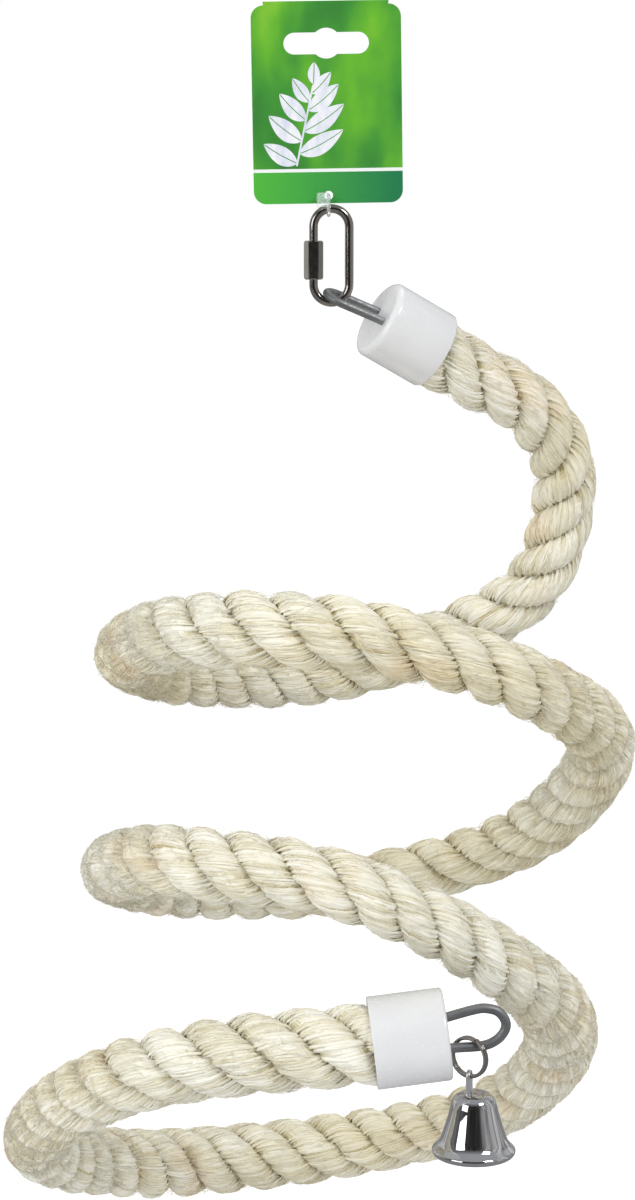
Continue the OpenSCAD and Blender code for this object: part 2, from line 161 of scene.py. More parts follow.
# The run, and how far the strands there lie ahead of an even lay
LAG = np.array([
    (0, -6), (170, -6), (280, -12.5), (335, -11.7), (555, -11.7), (665, -9), (720, -7.5),
    (775, -4.5), (885, -4), (940, 0), (995, 3), (1050, 2.5), (1105, 1), (1160, -1),
    (1270, -3), (1380, -3), (1435, 0), (1490, 2), (1600, 0.5), (1655, -1.5), (1772, -1)])
SMOOTH = 20


def lie(table, column):
    """One column of a table at every millimetre, smoothed over SMOOTH millimetres either way."""
    v = np.interp(np.arange(-SMOOTH, len(RUN) + SMOOTH), table[:, 0], table[:, column])
    window = 2 * SMOOTH + 1
    return np.convolve(v, np.ones(window) / window, "valid")


GIRTH = lie(LIE, 3)
SEEN_LINE = LINE + np.stack([lie(LIE, 1), 0 * RUN, lie(LIE, 2)], 1)


def on_rope(s, angle, radius):
    """Points at a run along the rope, an angle round it and a distance from its middle line."""
    s = np.clip(s, 0, ROPE_LEN)
    radius = np.asarray(radius) * np.interp(s, RUN, GIRTH)
    line, out, side = (np.stack([np.interp(s, RUN, x[:, k]) for k in range(3)], -1)
                       for x in (SEEN_LINE, OUT, SIDE))
    e = np.cos(angle)[..., None] * out + np.sin(angle)[..., None] * side
    return line + radius[..., None] * e, e


# Meshes
def piece(name, points, faces, mat, body, hides=(), slot=None, smooth=True,
          run=None, tone=None, sharp=None):
    """A mesh piece from points in millimetres and lists of faces, riding on a body."""
    me = bpy.data.meshes.new(name)
    polys = []
    for f in faces:
        polys.extend(f.tolist() if isinstance(f, np.ndarray) else f)
    me.from_pydata((np.asarray(points) * MM).tolist(), [], polys)
    if run is not None:
        corner = np.zeros(len(me.loops), int)
        me.loops.foreach_get("vertex_index", corner)
        uv = np.asarray(run)[corner].astype(np.float32).ravel()
        me.uv_layers.new(name="run").data.foreach_set("uv", uv)
    if tone is not None:
        tones = me.attributes.new("tone", "FLOAT", "POINT")
        tones.data.foreach_set("value", np.asarray(tone, np.float32))
    me.polygons.foreach_set("use_smooth", [smooth] * len(me.polygons))
    if sharp:
        me.set_sharp_from_angle(angle=math.radians(sharp))
    me.materials.append(mat)
    me.update()
    o = bpy.data.objects.new(name, me)
    bpy.context.collection.objects.link(o)
    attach(o, body)
    if hides:
        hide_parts(*hides)
    return o


def grid(rows, cols):
    """Four-cornered faces of a grid of rings, closed round each ring."""
    i = np.arange(rows - 1)[:, None] * cols
    j = np.arange(cols)[None, :]
    k = (j + 1) % cols
    return np.stack([i + j, i + k, i + cols + k, i + cols + j], -1).reshape(-1, 4)


def capped(rows, cols):
    """The faces of a grid of rings and of its two closed ends."""
    last = (rows - 1) * cols
    return [grid(rows, cols), [list(range(cols))[::-1]], [list(range(last, last + cols))]]


def tubes(paths, ups, wide, high, sides):
    """Many short tubes at once: paths are (tubes, points, 3), and the half sizes (tubes, points)."""
    n, m, _ = paths.shape
    ahead = unit(np.gradient(paths, axis=1))
    ups = unit(ups - (ups * ahead).sum(-1, keepdims=True) * ahead)
    across = np.cross(ahead, ups)
    a = -math.pi / 2 + 2 * math.pi * np.arange(sides) / sides
    p = (paths[:, :, None] + (wide[..., None] * np.cos(a))[..., None] * across[:, :, None]
         + (high[..., None] * np.sin(a))[..., None] * ups[:, :, None])
    faces = (grid(m, sides)[None] + (np.arange(n) * m * sides)[:, None, None]).reshape(-1, 4)
    near = np.arange(sides)[::-1][None] + (np.arange(n) * m * sides)[:, None]
    far = np.arange(sides)[None] + ((np.arange(n) + 1) * m * sides - sides)[:, None]
    return p.reshape(-1, 3), [faces, near, far]


def sweep(path, radius, sides, up, closed=False, shape=None):
    """A tube along one path, or a loop of it, with a round section or the shape given."""
    path = np.asarray(path, float)
    ahead = (unit(np.roll(path, -1, 0) - np.roll(path, 1, 0)) if closed
             else unit(np.gradient(path, axis=0)))
    v = np.asarray(up, float)
    out = []
    for h in ahead:
        v = unit(v - (v @ h) * h)
        out.append(v)
    out = np.array(out)
    across = np.cross(ahead, out)
    if shape is None:
        a = 2 * math.pi * np.arange(sides) / sides
        shape = np.stack([np.cos(a), np.sin(a)], 1)
    radius = np.broadcast_to(radius, len(path))
    p = path[:, None] + radius[:, None, None] * (shape[:, 0][None, :, None] * across[:, None]
                                                 + shape[:, 1][None, :, None] * out[:, None])
    n, m = len(path), len(shape)
    if closed:
        last = (n - 1) * m
        j = np.arange(m)
        k = (j + 1) % m
        return p.reshape(-1, 3), [np.vstack([grid(n, m), np.stack([last + j, last + k, k, j], -1)])]
    return p.reshape(-1, 3), capped(n, m)


def lathe(outline, sides=96, place=None):
    """A solid turned from an outline of (radius, height), moved by a 4 by 4 matrix."""
    outline = np.asarray(outline, float)
    a = 2 * math.pi * np.arange(sides) / sides
    p = np.stack([outline[:, :1] * np.cos(a), outline[:, :1] * np.sin(a),
                  np.broadcast_to(outline[:, 1:], (len(outline), sides))], -1).reshape(-1, 3)
    return moved(p, place), [grid(len(outline), sides)]


def moved(p, place):
    """Points moved by a 4 by 4 matrix, if there is one."""
    return p if place is None else np.asarray(p) @ np.array(place)[:3, :3].T + np.array(place)[:3, 3]


def at_end(place, bearing, dip, roll=0):
    """The place of a shape drawn along +Z from a cap's closed end."""
    return (Matrix.Translation(Vector(place)) @ Matrix.Rotation(math.radians(bearing), 4, "Z")
            @ Matrix.Rotation(math.radians(90 + dip), 4, "Y")
            @ Matrix.Rotation(math.radians(roll), 4, "Z"))


def squarish(n, power, half_x, half_y):
    """A round outline of n points that a power below 1 squares off."""
    w = np.linspace(0, 2 * math.pi, n, endpoint=False)
    c, s = np.cos(w), np.sin(w)
    return np.stack([np.sign(c) * np.abs(c) ** power * half_x,
                     np.sign(s) * np.abs(s) ** power * half_y], 1)


# Materials
class Mat:
    """A node material with a Principled shader and short calls for its nodes."""

    def __init__(self, name, **sockets):
        self.m = bpy.data.materials.new(name)
        self.m.use_nodes = True
        self.t = self.m.node_tree
        self.p = self.t.nodes["Principled BSDF"]
        self.set(self.p, sockets)

    def set(self, n, values):
        """Sets or links a node's inputs. In a name, _ stands for a space."""
        for key, v in values.items():
            if isinstance(key, str) and key.replace("_", " ") in n.inputs:
                key = key.replace("_", " ")
            if isinstance(v, bpy.types.NodeSocket):
                self.t.links.new(v, n.inputs[key])
            elif isinstance(v, tuple) and len(v) == 3 and n.inputs[key].type == "RGBA":
                n.inputs[key].default_value = (*v, 1)
            else:
                n.inputs[key].default_value = v
        return n

    def add(self, kind, values=None, **props):
        n = self.t.nodes.new("ShaderNode" + kind)
        for key, v in props.items():
            setattr(n, key, v)
        return self.set(n, values or {})

    def noise(self, where, scale, detail=3.0, rough=0.5, stretch=(1, 1, 1), shift=(0, 0, 0)):
        v = self.add("Mapping", {"Vector": where, "Scale": stretch, "Location": shift}).outputs[0]
        n = self.add("TexNoise", {"Vector": v, "Scale": scale, "Detail": detail, "Roughness": rough})
        return n.outputs["Fac"]

    def ramp(self, fac, *stops):
        n = self.add("ValToRGB", {"Fac": fac})
        e = n.color_ramp.elements
        while len(e) < len(stops):
            e.new(0.5)
        for s, (at, colour) in zip(e, stops):
            s.position = at
            s.color = (*colour, 1) if isinstance(colour, tuple) else (colour, colour, colour, 1)
        return n.outputs["Color"]

    def mix(self, fac, a, b, kind="MIX"):
        n = self.add("Mix", {}, data_type="RGBA", blend_type=kind)
        self.set(n, {0: fac, 6: a, 7: b})
        return n.outputs[2]

    def math(self, op, a, b=0.5, clamp=False):
        return self.add("Math", {0: a, 1: b}, operation=op, use_clamp=clamp).outputs[0]

    def bump(self, height, strength, distance):
        n = self.add("Bump", {"Height": height, "Strength": strength, "Distance": distance})
        self.set(self.p, {"Normal": n.outputs[0]})

    def place(self):
        return self.add("TexCoord").outputs["Object"]


def sisal(name, dark, mid, light, fleck):
    """Plant fibre from a dark to a light tone, with warm patches and brown flecks."""
    m = Mat(name, Roughness=0.62, Specular_IOR_Level=0.32, Sheen_Weight=0.18, Sheen_Roughness=0.45)
    run = m.add("UVMap", uv_map="run").outputs[0]
    tone = m.add("Attribute", attribute_name="tone").outputs["Fac"]
    fine = m.noise(run, 1.0, 4.0, 0.6, (1.6, 0.16, 1))
    blotch = m.noise(m.place(), 55.0, 3.0)
    patch = m.noise(m.place(), 14.0, 2.0, 0.5, (1, 1, 1), (3, 1, 7))
    v = m.math("ADD", tone, m.math("MULTIPLY", m.math("SUBTRACT", fine, 0.5), 1.9))
    v = m.math("ADD", v, m.math("MULTIPLY", m.math("SUBTRACT", blotch, 0.5), 0.55), True)
    # The tone is random yarn tone and, on the strands, also painted shade in the seams and in the gaps
    # between yarns, which reaches the dark end.
    body = m.ramp(v, (0.0, dark), (0.38, mid), (0.85, light))
    warm = m.mix(m.ramp(patch, (0.45, 0.0), (0.70, 0.5)), body, (0.88, 0.80, 0.58), "MULTIPLY")
    blush = m.noise(m.place(), 38.0, 2.0, 0.5, (1, 1, 1), (9, 4, 2))
    warm = m.mix(m.ramp(blush, (0.55, 0.0), (0.72, 0.55)), warm, (0.97, 0.84, 0.70), "MULTIPLY")
    spot = m.noise(run, 1.0, 2.0, 0.5, (0.8, 0.06, 1), (11, 5, 0))
    flecks = m.ramp(spot, (0.69, 0.0), (0.76, fleck))
    m.set(m.p, {"Base Color": m.mix(flecks, warm, (0.40, 0.25, 0.11))})
    m.bump(fine, 0.55, 0.0003)
    return m.m


def metal(name, colour, rough, grain, bump):
    """Bare metal with a cloudy tone and a fine grain."""
    m = Mat(name, Metallic=1.0, Coat_Weight=0.0, Coat_Roughness=0.1)
    n = m.noise(m.place(), grain, 4.0, 0.6)
    big = m.noise(m.place(), grain * 0.12, 2.0)
    cloud = m.ramp(big, (0.35, 0.0), (0.7, 1.0))
    m.set(m.p, {"Base Color": m.mix(cloud, tuple(c * 0.8 for c in colour), colour),
                "Roughness": m.math("ADD", m.math("MULTIPLY", n, rough), rough * 0.5)})
    m.bump(n, bump, 0.0001)
    return m.m


def plastic():
    """White moulded plastic with light scuffs."""
    m = Mat("white_plastic", Roughness=0.22, IOR=1.5, Coat_Weight=0.5, Coat_Roughness=0.08)
    scuff = m.noise(m.place(), 900, 5.0, 0.65)
    cloud = m.noise(m.place(), 60, 3.0)
    m.set(m.p, {"Base Color": m.ramp(cloud, (0.3, (0.74, 0.74, 0.745)), (0.75, (0.79, 0.79, 0.79))),
                "Roughness": m.ramp(scuff, (0.4, 0.16), (0.72, 0.34))})
    m.bump(m.noise(m.place(), 220, 2.0), 0.12, 0.0004)
    return m.m


# The rope's dark colour is reached in the painted shade of its seams and in its darkest yarns.
rope_mat = sisal("sisal", (0.53, 0.46, 0.26), (0.81, 0.76, 0.58), (0.95, 0.93, 0.82), 0.6)
fibre_mat = sisal("sisal_fibre", (0.64, 0.57, 0.36), (0.87, 0.83, 0.66), (0.96, 0.94, 0.85), 0.4)
cap_mat = plastic()
zinc = metal("galvanised", (0.39, 0.40, 0.405), 0.54, 700, 0.5)
nickel = metal("dark_nickel", (0.40, 0.375, 0.35), 0.12, 260, 0.22)
sleeve_nickel = metal("sleeve_nickel", (0.42, 0.395, 0.36), 0.20, 520, 0.4)
strip_chrome = metal("strip_chrome", (0.95, 0.95, 0.97), 0.30, 300, 0.2)
chrome = metal("bright_chrome", (0.67, 0.67, 0.685), 0.035, 160, 0.10)


# Laid rope: three strands, and the yarns that wind over each of them
PITCH, STRANDS, YARNS = 50.0, 3, 76
STRAND_STEP, STRAND_CORE = 1.8, 2.2
YARN_WIDE, YARN_HIGH, YARN_SIDES = 0.72, 0.32, 6
FIBRE_POINTS, FIBRE_SIDES = 7, 3
# Runs near which the rope bends and frays most, those that fray more named twice, and their spread
BENDS, BEND_SPREAD = (365, 945, 1590, 365, 945, 1590, 640, 1215), 48
R = ROPE_D / 2
SECTOR = math.pi / STRANDS
RIM_RUN = CAP_LEN - ROPE_IN
LAY = 2 * math.pi * (RUN - lie(LAG, 1)) / PITCH
SLOPE = np.gradient(LAY)


def lay(s):
    """The angle round the rope that the first strand's middle has at a run."""
    beyond = np.minimum(s, 0) + np.maximum(s - ROPE_LEN, 0)
    return np.interp(s, RUN, LAY) + beyond * 2 * math.pi / PITCH


def strand_radius(t):
    """Distance of a strand's surface from the rope's middle line, across its third of the rope."""
    t = np.abs(t)
    return np.maximum(R + 0.1 - 3.2 * t ** 2 - 2.6 * t ** 6, 6.0)


def make_wave(step, size):
    """A smooth random wave along the rope, with a knot at every step."""
    knots = rng.normal(0, size, int((ROPE_LEN + 200) / step) + 3)

    def wave(s):
        x = np.clip((np.asarray(s) + 60) / step, 0, len(knots) - 2)
        i = x.astype(int)
        f = x - i
        f = f * f * (3 - 2 * f)
        return knots[i] * (1 - f) + knots[i + 1] * f
    return wave


swell = [make_wave(23, 0.28) for _ in range(STRANDS)]
shade = [make_wave(31, 0.06) for _ in range(STRANDS)]
narrow = [make_wave(11, 0.05) for _ in range(STRANDS)]


def strand_body(k):
    """The smooth body under one strand's yarns."""
    s = np.arange(0, ROPE_LEN, STRAND_STEP)
    t = np.linspace(-0.99, 0.99, 21)
    phase = lay(s) + 2 * SECTOR * k
    angle = phase[:, None] + t[None] * SECTOR
    radius = strand_radius(t)[None] - 0.02 + swell[k](s)[:, None]
    outer, _ = on_rope(np.broadcast_to(s[:, None], angle.shape), angle, radius)
    angle = phase[:, None] + np.array([0.8, -0.8])[None] * SECTOR
    inner, _ = on_rope(np.broadcast_to(s[:, None], angle.shape), angle,
                       np.full(angle.shape, STRAND_CORE))
    ring = np.concatenate([outer, inner], 1)
    rows, cols = ring.shape[:2]
    run = np.stack(np.broadcast_arrays(np.arange(cols) * 1.7, s[:, None]), -1)
    # Painted shade: the body is a little darker than the yarns, as shade in the gaps between them, and
    # darker still towards its edges, as shade in the seams between strands.
    edge = np.concatenate([np.abs(t), [1, 1]])
    tone = np.broadcast_to(0.46 - 0.85 * edge ** 5, (rows, cols)).reshape(-1)
    return ring.reshape(-1, 3), capped(rows, cols), run.reshape(-1, 2), tone


def strand_yarns(k, first, last):
    """The yarns on one strand between two runs. The strand winds on under each of them."""
    centre = np.arange(first, last, PITCH / YARNS)
    n = len(centre)
    t = np.array([-1.10, -0.97, -0.80, -0.45, 0.0, 0.45, 0.80, 0.97, 1.10])
    jitter = rng.normal(0, 0.2, n)
    half = SECTOR / np.interp(centre, RUN, SLOPE) * (1 - np.clip(narrow[k](centre), 0, 0.12))
    s = (centre + jitter)[:, None] - t[None] * half[:, None]
    s = s + rng.normal(0, 0.55, (n, 1)) * t[None] + rng.normal(0, 0.2, (n, len(t)))
    tilt = 0.02 + rng.normal(0, 0.022, n)
    angle = (lay(centre) + 2 * SECTOR * k)[:, None] + tilt[:, None] * t[None]
    angle = angle + rng.normal(0, 0.007, (n, len(t)))
    lift = rng.normal(0, 0.10, n)[:, None] + rng.normal(0, 0.06, (n, len(t)))
    radius = strand_radius(t)[None] + lift + swell[k](s)
    paths, ups = on_rope(s, angle, radius)
    taper = np.array([0.9, 1, 1, 1.05, 1.05, 1.05, 1, 1, 0.9])
    wide = YARN_WIDE * rng.uniform(0.45, 1.5, n)[:, None] * taper[None]
    high = YARN_HIGH * rng.uniform(0.8, 1.25, n)[:, None] * np.ones(len(t))[None]
    p, faces = tubes(paths, ups, wide, high, YARN_SIDES)
    around = np.arange(YARN_SIDES) * 1.1 + rng.uniform(0, 400, n)[:, None, None]
    run = np.stack(np.broadcast_arrays(around, s[:, :, None]), -1).reshape(-1, 2)
    tone = 0.66 + rng.normal(0, 0.19, n) + shade[k](centre)
    # Painted shade: each yarn is darker towards the strand's edges, in the seams between strands.
    painted_seam_shade = np.interp(np.abs(t), [0.75, 0.97, 1.1], [0, 0.16, 0.5])
    tone = np.repeat(tone[:, None] - painted_seam_shade[None], YARN_SIDES)
    return p, faces, run, tone


def loose_fibres(n, length, thick, lift, spread, middle_tone, near=None, hug=1.0):
    """Fibres that lie on the rope or stand off it, all along it or near some runs."""
    s0 = rng.uniform(RIM_RUN - 2, ROPE_LEN - RIM_RUN + 2, n)
    if near:
        s0 = np.clip(rng.choice(near, n) + rng.normal(0, BEND_SPREAD, n), RIM_RUN, ROPE_LEN - RIM_RUN)
    a0 = rng.uniform(0, 2 * math.pi, n)
    size = rng.uniform(*length, n)
    head = rng.normal(0, spread, n) + np.where(rng.random(n) < 0.5, 0, math.pi)
    m = FIBRE_POINTS
    u = np.linspace(0, 1, m)[None]
    bend = rng.normal(0, 0.5, n)[:, None]
    heading = head[:, None] + bend * (u - 0.3)
    step = size[:, None] / (m - 1)
    ds = np.cumsum(np.cos(heading) * step, 1) - np.cos(heading[:, :1]) * step
    da = (np.cumsum(np.sin(heading) * step, 1) - np.sin(heading[:, :1]) * step) / R
    s = np.clip(s0[:, None] + ds, RIM_RUN - 3, ROPE_LEN - RIM_RUN + 3)
    height = rng.uniform(*lift, n)[:, None]
    curl = rng.uniform(1.3, 2.6, n)[:, None]
    radius = R + height * u ** curl + rng.normal(0, 0.12, (n, m))
    angle = a0[:, None] + da
    # A fibre that hugs follows the strand under it up to its last part, and others span the grooves
    t = np.abs((((angle - lay(s)) / SECTOR + 1) % 2) - 1)
    radius = radius - hug * (R - 0.3 - strand_radius(t)) * (1 - u ** 3)
    paths, ups = on_rope(s, angle, radius)
    w = thick * rng.uniform(0.7, 1.3, n)[:, None] * np.linspace(1, 0.45, m)[None]
    p, faces = tubes(paths, ups, w, w, FIBRE_SIDES)
    around = np.arange(FIBRE_SIDES) * 0.4 + rng.uniform(0, 400, n)[:, None, None]
    run = np.stack(np.broadcast_arrays(around, (u * 20)[:, :, None]), -1).reshape(-1, 2)
    tone = np.repeat(middle_tone + rng.normal(0, 0.22, n), m * FIBRE_SIDES)
    return p, faces, run, tone


def rope_piece(name, made, mat, hides=()):
    """A piece of the rope from its points, faces, runs and tones."""
    points, faces, run, tone = made
    piece(name, points, faces, mat, "perch", hides, "sisal", run=run, tone=tone)


HALVES = (("a", -9, ROPE_LEN / 2), ("b", ROPE_LEN / 2, ROPE_LEN + 9))
for k in range(STRANDS):
    rope_piece(f"strand_{k + 1}", strand_body(k), rope_mat, ("rope",))
    for half, first, last in HALVES:
        rope_piece(f"strand_yarns_{k + 1}{half}", strand_yarns(k, first, last), rope_mat)
for half in "ab":
    rope_piece(f"lying_fibres_{half}",
               loose_fibres(4600, (6, 24), 0.105, (0.1, 0.5), 0.38, 0.72), fibre_mat)
rope_piece("stray_fibres", loose_fibres(5200, (2.5, 12), 0.085, (0.4, 3.4), 0.9, 0.62), fibre_mat)
for half in "ab":
    rope_piece(f"tangled_fibres_{half}",
               loose_fibres(4800, (4, 15), 0.12, (0.05, 1.1), 1.1, 0.70, BENDS, 0.45), fibre_mat)


# End caps
def cap(name, node, place, outer, turn):
    """A moulded cap of an outer radius, whose closed end is rounded by the radius given."""
    inner, lip_r = outer - CAP_WALL, 0.4
    bend = [(outer - turn + turn * math.sin(a), turn - turn * math.cos(a))
            for a in np.radians(np.arange(0, 91, 7.5))]
    lip = [(outer - lip_r + lip_r * math.cos(a), CAP_LEN - lip_r + lip_r * math.sin(a))
           for a in np.radians([0, 30, 60, 90])]
    outline = ([(0.01, 0.35), (outer * 0.55, 0.28), (outer - turn - 1.2, 0.08)] + bend
               + [(outer, 9), (outer, 18)] + lip
               + [(inner, CAP_LEN - 0.1), (inner, CAP_LEN - 8), (inner, CAP_FLOOR)])
    p, f = lathe(outline, 128, place)
    piece(name, p, f, cap_mat, "perch", (node,), "white_plastic", sharp=50)


cap("top_cap_shell", "top_cap",
    at_end(top_end + [-0.4, 0, 0.5], TOP_BEARING, TOP_DIP), 14.9, 2.4)
cap("bottom_cap_shell", "bottom_cap",
    at_end(bottom_end + [0.4, 0, 0], BOTTOM_BEARING, BOTTOM_DIP), 15.9, 1.3)


# Wire eyes
def smooth_line(points, each):
    """A Catmull-Rom line through points."""
    p = np.asarray(points, float)
    p = np.vstack([2 * p[0] - p[1], p, 2 * p[-1] - p[-2]])
    return np.vstack(spline_parts(p, each) + [p[-2]])


def eye(name, node, place, thick, bow=None):
    """A wire eye, with straight legs and a round bend or with (across, out) points of its own."""
    leg, half = EYE_LEN - EYE_W / 2, EYE_W / 2
    if bow is None:
        bend = [(0, half * math.cos(a), -leg - half * math.sin(a))
                for a in np.linspace(0, math.pi, 41)]
        path = [(0, half, z) for z in np.linspace(CAP_FLOOR, -leg, 12)[:-1]] + bend
        path += [(0, -half, z) for z in np.linspace(-leg, CAP_FLOOR, 12)[1:]]
    else:
        path = smooth_line([(0, y, -z) for y, z in bow], 8)
    p, f = sweep(moved(path, place), thick / 2, 28, (0, 0, 1))
    piece(name, p, f, zinc, "perch", (node,), "galvanised", sharp=60)


eye("top_wire_eye", "top_eye",
    at_end(top_end + [0.0, -2.6, 1.2], TOP_BEARING - 8, TOP_DIP - 6, EYE_ROLL + 2), 3.0)
BOW = ((5.4, -CAP_FLOOR), (5.6, 0.5), (6.3, 5.0), (7.0, 10.0), (7.1, 14.0), (5.6, 18.2), (2.6, 20.4),
       (-0.6, 20.6), (-3.6, 18.4), (-5.4, 15.2), (-6.0, 12.0), (-5.9, 8.0), (-5.6, 4.0), (-5.4, 0.5),
       (-5.4, -CAP_FLOOR))
eye("bottom_wire_eye", "bottom_eye",
    at_end(bottom_end, BOTTOM_BEARING, BOTTOM_DIP, 90), WIRE_D, BOW)


# Quick link
def arc(x, z, r, a, b, n):
    """Points of an arc in the XZ plane between two angles in degrees."""
    return [(x + r * math.cos(w), 0, z + r * math.sin(w)) for w in np.radians(np.linspace(a, b, n))]


way = ([(-LINK_BEND, 0, z) for z in np.linspace(GAP_LOW, LEG_LOW, 6)[:-1]]
       + arc(0, LEG_LOW, LINK_BEND, 180, 360, 40)
       + [(LINK_BEND, 0, z) for z in np.linspace(LEG_LOW, LEG_HIGH, 12)[1:-1]]
       + arc(0, LEG_HIGH, LINK_BEND, 0, 180, 40)
       + [(-LINK_BEND, 0, z) for z in np.linspace(LEG_HIGH, GAP_LOW + LINK_GAP, 12)[1:]])
p, f = sweep(way, LINK_R, 32, (0, 1, 0))
piece("oval_link", p, f, nickel, "link", ("quick_link",), "nickel", sharp=60)

hexagon, SIXTH = SLEEVE_W / 2, math.pi / 3
corner = hexagon / math.cos(SIXTH / 2)
a = np.radians(np.arange(0, 360, 3))
facet = a + SIXTH / 2
flat = hexagon / np.cos(facet - SIXTH * np.round(facet / SIXTH))
bore = np.full(len(a), LINK_R + 0.05)
# How much the corners are cut back at each height
CUTS = ((0, 0.55), (0.3, 0.16), (0.75, 0),
        (SLEEVE_LEN - 0.75, 0), (SLEEVE_LEN - 0.3, 0.16), (SLEEVE_LEN, 0.55))
rings = [(np.minimum(flat, corner - cut), z) for z, cut in CUTS]
rings += [(bore, SLEEVE_LEN), (bore, 0), rings[0]]
p = np.vstack([np.stack([r * np.cos(a), r * np.sin(a), np.full(len(a), z)], 1) for r, z in rings])
piece("hex_sleeve", p + [-LINK_BEND, 0, SLEEVE_LOW], [grid(len(rings), len(a))], sleeve_nickel,
      "sleeve", ("link_sleeve",), "nickel", sharp=25)


# Header card
TAG_LOW = LINK_D + HANG_GAP
TIE_HOLE_DROP, CARD_TURN = 1.3, math.radians(0.9)
TIE_Z, TIE_X = TAG_LOW + TIE_HOLE_UP - TIE_HOLE_DROP, -TAG_SHIFT / 2
card_mat = Mat("card_print", Roughness=0.35, Coat_Weight=0.3)
back_mat = Mat("card_back", Roughness=0.5)


def circle_line(x, z, r, a, b, n):
    """(x, z) pairs on an arc between two angles in degrees."""
    return [(x + r * math.cos(w), z + r * math.sin(w)) for w in np.radians(np.linspace(a, b, n))]


def card_turned(points):
    """Points (x, z) of the card as it hangs, turned a little about its hole."""
    c, s = math.cos(CARD_TURN), math.sin(CARD_TURN)
    return [(TIE_X + (x - TIE_X) * c - (z - TIE_Z) * s, TIE_Z + (x - TIE_X) * s + (z - TIE_Z) * c)
            for x, z in points]


def flat_plate(name, outer, holes, y_front, y_back, mat, body, **more):
    """A thin plate in the XZ plane with an outline and holes, filled and given thickness."""
    outer, holes = card_turned(outer), [card_turned(h) for h in holes]
    bm = bmesh.new()
    loops, edges = [], []
    for line in [outer] + holes:
        verts = [bm.verts.new((x, y_front, z)) for x, z in line]
        edges += [bm.edges.new((verts[i - 1], verts[i])) for i in range(len(verts))]
        loops.append(verts)
    bm.verts.index_update()
    bmesh.ops.triangle_fill(bm, edges=edges, use_beauty=True)
    pts = [tuple(v.co) for v in bm.verts]
    tris = []
    for face in bm.faces:
        ids = [v.index for v in face.verts]
        (ax, _, az), (bx, _, bz), (cx, _, cz) = (pts[i] for i in ids)
        tris.append(ids if (bx - ax) * (cz - az) > (bz - az) * (cx - ax) else ids[::-1])
    n = len(pts)
    walls = []
    for verts in loops:
        ids = [v.index for v in verts]
        area = sum(pts[a][0] * pts[b][2] - pts[b][0] * pts[a][2]
                   for a, b in zip(ids[-1:] + ids, ids))
        if (area < 0) != (verts is not loops[0]):
            ids = ids[::-1]
        walls += [[ids[i], ids[i - 1], ids[i - 1] + n, ids[i] + n] for i in range(len(ids))]
    bm.free()
    pts += [(x, y_back, z) for x, _, z in pts]
    far_tris = [[v + n for v in t][::-1] for t in tris]
    piece(name, pts, [tris, far_tris, walls], mat, body, smooth=False, **more)


def rounded(x0, z0, x1, z1, r, n=9):
    """The outline of a rectangle with round corners."""
    return (circle_line(x1 - r, z1 - r, r, 0, 90, n) + circle_line(x0 + r, z1 - r, r, 90, 180, n)
            + circle_line(x0 + r, z0 + r, r, 180, 270, n) + circle_line(x1 - r, z0 + r, r, 270, 360, n))


def slot_line(x, z):
    """The outline of the hanging slot round its middle."""
    half, r, b = (SLOT_W - SLOT_H) / 2, SLOT_H / 2, SLOT_BUMP / 2
    meet = math.degrees(math.acos(math.sqrt(1 - (r / b) ** 2)))
    return (circle_line(x + half, z, r, -90, 90, 17)
            + circle_line(x, z, b, meet, 180 - meet, 15)
            + circle_line(x - half, z, r, 90, 270, 17)
            + circle_line(x, z, b, 180 + meet, 360 - meet, 15))


CARD_X, CARD_TOP = 0.9 - TAG_SHIFT, TAG_LOW + TAG_H + 0.5
card_x0, card_x1 = CARD_X - TAG_W / 2, CARD_X + TAG_W / 2
# The fold along the card's top is cut back a little above its rounded corners
FOLD, TIE_HOLE_SEEN = 1.3, 3.2
card = rounded(card_x0, TAG_LOW, card_x1, CARD_TOP - FOLD, TAG_CORNER)
side_points = len(card) // 4
card = (card[:side_points]
        + [(card_x1 - TAG_CORNER + 0.2, CARD_TOP), (card_x0 + TAG_CORNER - 0.2, CARD_TOP)]
        + card[side_points:])
holes = [slot_line(CARD_X, TAG_LOW + TAG_H - SLOT_DOWN),
         circle_line(TIE_X, TIE_Z, TIE_HOLE_SEEN / 2, 0, 350, 36)]
BAND, BAND_LINE = 12.0, 0.6


def paint_card(m):
    """Soft leafy greens over a band along the card's foot that runs from bright to deep green."""
    where = m.place()
    pivot = Vector((TIE_X * MM, 0, TIE_Z * MM))
    back = Matrix.Rotation(CARD_TURN, 3, "Y")
    straight = m.add("Mapping", {"Vector": where, "Location": tuple(pivot - back @ pivot),
                                 "Rotation": (0, CARD_TURN, 0)})
    xyz = m.add("SeparateXYZ", {"Vector": straight.outputs[0]}).outputs
    leaf = m.noise(where, 42, 2.0, 0.45, (1, 1, 0.45))
    dapple = m.noise(where, 95, 2.0, 0.5, (1, 1, 0.6), (4, 2, 1))
    field = m.ramp(m.math("ADD", m.math("MULTIPLY", leaf, 0.75), m.math("MULTIPLY", dapple, 0.25)),
                   (0.30, (0.02, 0.16, 0.03)), (0.45, (0.05, 0.30, 0.03)),
                   (0.58, (0.13, 0.47, 0.02)), (0.72, (0.33, 0.62, 0.05)))
    x01 = m.math("MULTIPLY_ADD", xyz[0], 1 / (TAG_W * MM))
    m.set(x01.node, {2: 0.5 - CARD_X / TAG_W})
    band = m.ramp(x01, (0.05, (0.07, 0.46, 0.04)), (0.95, (0.01, 0.20, 0.07)))
    band_top = (TAG_LOW + BAND) * MM
    up = m.math("GREATER_THAN", xyz[2], band_top)
    off = m.math("ABSOLUTE", m.math("SUBTRACT", xyz[2], band_top))
    line = m.math("LESS_THAN", off, BAND_LINE * MM)
    m.set(m.p, {"Base Color": m.mix(line, m.mix(up, band, field), (0.86, 0.88, 0.86))})
    m.bump(m.noise(where, 1500, 2.0), 0.08, 0.0001)


